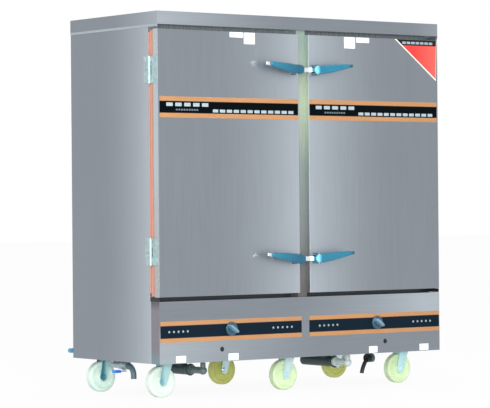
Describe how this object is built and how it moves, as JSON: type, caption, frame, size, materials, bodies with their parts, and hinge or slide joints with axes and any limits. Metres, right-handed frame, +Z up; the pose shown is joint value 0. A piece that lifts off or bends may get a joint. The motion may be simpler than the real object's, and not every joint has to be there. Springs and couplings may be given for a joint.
{
  "type": "gas rice steamer",
  "caption": "Tall gas rice steaming cabinet: double insulated doors with wide soft seals, blue latch levers, tray chambers over water tanks and burners, on swivel casters.",
  "frame": {"origin": "on the floor under the centre of the whole machine's outer box", "axes": "+X to the right as seen from the front, +Y from the doors to the back, +Z up"},
  "size_m": [1.48, 0.755, 1.53],
  "materials": {
    "stainless": "satin stainless sheet",
    "stainless_inner": "bright stainless sheet",
    "galvanised": "galvanised steel tube",
    "zinc": "bright zinc plating with a pale blue cast",
    "chrome": "polished plating",
    "cast_iron": "black cast iron",
    "pipe_steel": "threaded steel pipe and valve bodies",
    "silicone": "matt orange-pink silicone",
    "foam": "rigid foam",
    "label_film": "printed film, black with orange borders",
    "blue_plastic": "blue moulded cover",
    "knob_plastic": "dark blue-green moulding",
    "blue_lever": "blue dipped steel lever",
    "nylon": "white nylon",
    "aged_nylon": "yellowed nylon"
  },
  "bodies": {
    "cabinet": {"top_cap": "stainless", "left_side_panel": "stainless", "right_side_panel": "stainless", "back_panel": "stainless", "front_frame": "stainless", "centre_post": "stainless", "control_panel": "stainless", "control_label_strips": "label_film", "chamber_liners": "stainless_inner", "cabinet_insulation": "foam", "water_tanks": "stainless_inner", "tray_racks": "stainless_inner", "rice_trays": "stainless_inner", "base_frame": "galvanised", "burner_floor_pan": "galvanised", "gas_burners": "cast_iron", "gas_pipework": "pipe_steel", "water_feed_and_drain": "pipe_steel", "flues_and_vents": "stainless", "latch_strikers": "chrome", "hinge_frame_leaves": "chrome", "caster_mounts": "zinc"},
    "left_door": {"left_door_shell": "stainless", "left_door_inner_panel": "stainless_inner", "left_door_insulation": "foam", "left_door_gasket": "silicone", "left_door_label_band": "label_film", "left_door_hinge_leaves": "chrome", "left_handle_brackets": "chrome"},
    "right_door": {"right_door_shell": "stainless", "right_door_inner_panel": "stainless_inner", "right_door_insulation": "foam", "right_door_gasket": "silicone", "right_door_label_band": "label_film", "right_door_hinge_leaves": "chrome", "right_handle_brackets": "chrome"},
    "left_upper_handle": {"left_upper_lever": "chrome", "left_upper_grip": "blue_plastic"},
    "left_lower_handle": {"left_lower_lever": "chrome", "left_lower_grip": "blue_plastic"},
    "right_upper_handle": {"right_upper_lever": "chrome", "right_upper_grip": "blue_plastic"},
    "right_lower_handle": {"right_lower_lever": "chrome", "right_lower_grip": "blue_plastic"},
    "left_knob": {"left_gas_knob": "knob_plastic"},
    "right_knob": {"right_gas_knob": "knob_plastic"},
    "drain_lever": {"drain_valve_lever": "blue_lever"},
    "water_lever": {"water_valve_lever": "blue_lever"},
    "front_left_fork": {"front_left_caster_fork": "zinc"},
    "front_left_wheel_set": {"front_left_wheel": "nylon"},
    "front_middle_fork": {"front_middle_caster_fork": "zinc"},
    "front_middle_wheel_set": {"front_middle_wheel": "nylon"},
    "front_right_fork": {"front_right_caster_fork": "zinc"},
    "front_right_wheel_set": {"front_right_wheel": "nylon"},
    "rear_left_fork": {"rear_left_caster_fork": "zinc"},
    "rear_left_wheel_set": {"rear_left_wheel": "nylon"},
    "rear_middle_fork": {"rear_middle_caster_fork": "zinc"},
    "rear_middle_wheel_set": {"rear_middle_wheel": "aged_nylon"},
    "rear_right_fork": {"rear_right_caster_fork": "zinc"},
    "rear_right_wheel_set": {"rear_right_wheel": "aged_nylon"}
  },
  "joints": [
    {"name": "left_door_swing", "type": "hinge", "parent": "cabinet", "child": "left_door", "pos_m": [-0.733, -0.2735, 0.941], "axis": [0, 0, -1], "range_deg": [0, 180]},
    {"name": "right_door_swing", "type": "hinge", "parent": "cabinet", "child": "right_door", "pos_m": [0.733, -0.2735, 0.941], "axis": [0, 0, 1], "range_deg": [0, 180]},
    {"name": "left_upper_handle_turn", "type": "hinge", "parent": "left_door", "child": "left_upper_handle", "pos_m": [-0.053, -0.3475, 1.3145], "axis": [0, 0, 1], "range_deg": [0, 35]},
    {"name": "left_lower_handle_turn", "type": "hinge", "parent": "left_door", "child": "left_lower_handle", "pos_m": [-0.053, -0.3475, 0.543], "axis": [0, 0, 1], "range_deg": [0, 35]},
    {"name": "right_upper_handle_turn", "type": "hinge", "parent": "right_door", "child": "right_upper_handle", "pos_m": [0.053, -0.3475, 1.3145], "axis": [0, 0, -1], "range_deg": [0, 35]},
    {"name": "right_lower_handle_turn", "type": "hinge", "parent": "right_door", "child": "right_lower_handle", "pos_m": [0.053, -0.3475, 0.543], "axis": [0, 0, -1], "range_deg": [0, 35]},
    {"name": "left_knob_turn", "type": "hinge", "parent": "cabinet", "child": "left_knob", "pos_m": [-0.378, -0.3215, 0.269], "axis": [0, -1, 0], "range_deg": [0, 180]},
    {"name": "right_knob_turn", "type": "hinge", "parent": "cabinet", "child": "right_knob", "pos_m": [0.378, -0.3215, 0.269], "axis": [0, -1, 0], "range_deg": [0, 180]},
    {"name": "drain_lever_turn", "type": "hinge", "parent": "cabinet", "child": "drain_lever", "pos_m": [-0.65, 0.0445, 0.094], "axis": [0, 0, -1], "range_deg": [0, 90]},
    {"name": "water_lever_turn", "type": "hinge", "parent": "cabinet", "child": "water_lever", "pos_m": [-0.66, 0.3575, 0.167], "axis": [0, 1, 0], "range_deg": [0, 90]},
    {"name": "front_left_swivel", "type": "hinge", "parent": "cabinet", "child": "front_left_fork", "pos_m": [-0.615, -0.1955, 0.1457], "axis": [0, 0, 1], "continuous": true},
    {"name": "front_left_wheel_roll", "type": "hinge", "parent": "front_left_fork", "child": "front_left_wheel_set", "pos_m": [-0.637, -0.1955, 0.0625], "axis": [0, 1, 0], "continuous": true},
    {"name": "front_middle_swivel", "type": "hinge", "parent": "cabinet", "child": "front_middle_fork", "pos_m": [0, -0.1955, 0.1457], "axis": [0, 0, 1], "continuous": true},
    {"name": "front_middle_wheel_roll", "type": "hinge", "parent": "front_middle_fork", "child": "front_middle_wheel_set", "pos_m": [-0.022, -0.1955, 0.0625], "axis": [0, 1, 0], "continuous": true},
    {"name": "front_right_swivel", "type": "hinge", "parent": "cabinet", "child": "front_right_fork", "pos_m": [0.615, -0.1955, 0.1457], "axis": [0, 0, 1], "continuous": true},
    {"name": "front_right_wheel_roll", "type": "hinge", "parent": "front_right_fork", "child": "front_right_wheel_set", "pos_m": [0.593, -0.1955, 0.0625], "axis": [0, 1, 0], "continuous": true},
    {"name": "rear_left_swivel", "type": "hinge", "parent": "cabinet", "child": "rear_left_fork", "pos_m": [-0.615, 0.2355, 0.1457], "axis": [0, 0, 1], "continuous": true},
    {"name": "rear_left_wheel_roll", "type": "hinge", "parent": "rear_left_fork", "child": "rear_left_wheel_set", "pos_m": [-0.637, 0.2355, 0.0625], "axis": [0, 1, 0], "continuous": true},
    {"name": "rear_middle_swivel", "type": "hinge", "parent": "cabinet", "child": "rear_middle_fork", "pos_m": [0, 0.2355, 0.1457], "axis": [0, 0, 1], "continuous": true},
    {"name": "rear_middle_wheel_roll", "type": "hinge", "parent": "rear_middle_fork", "child": "rear_middle_wheel_set", "pos_m": [-0.022, 0.2355, 0.0625], "axis": [0, 1, 0], "continuous": true},
    {"name": "rear_right_swivel", "type": "hinge", "parent": "cabinet", "child": "rear_right_fork", "pos_m": [0.615, 0.2355, 0.1457], "axis": [0, 0, 1], "continuous": true},
    {"name": "rear_right_wheel_roll", "type": "hinge", "parent": "rear_right_fork", "child": "rear_right_wheel_set", "pos_m": [0.593, 0.2355, 0.0625], "axis": [0, 1, 0], "continuous": true}
  ]
}
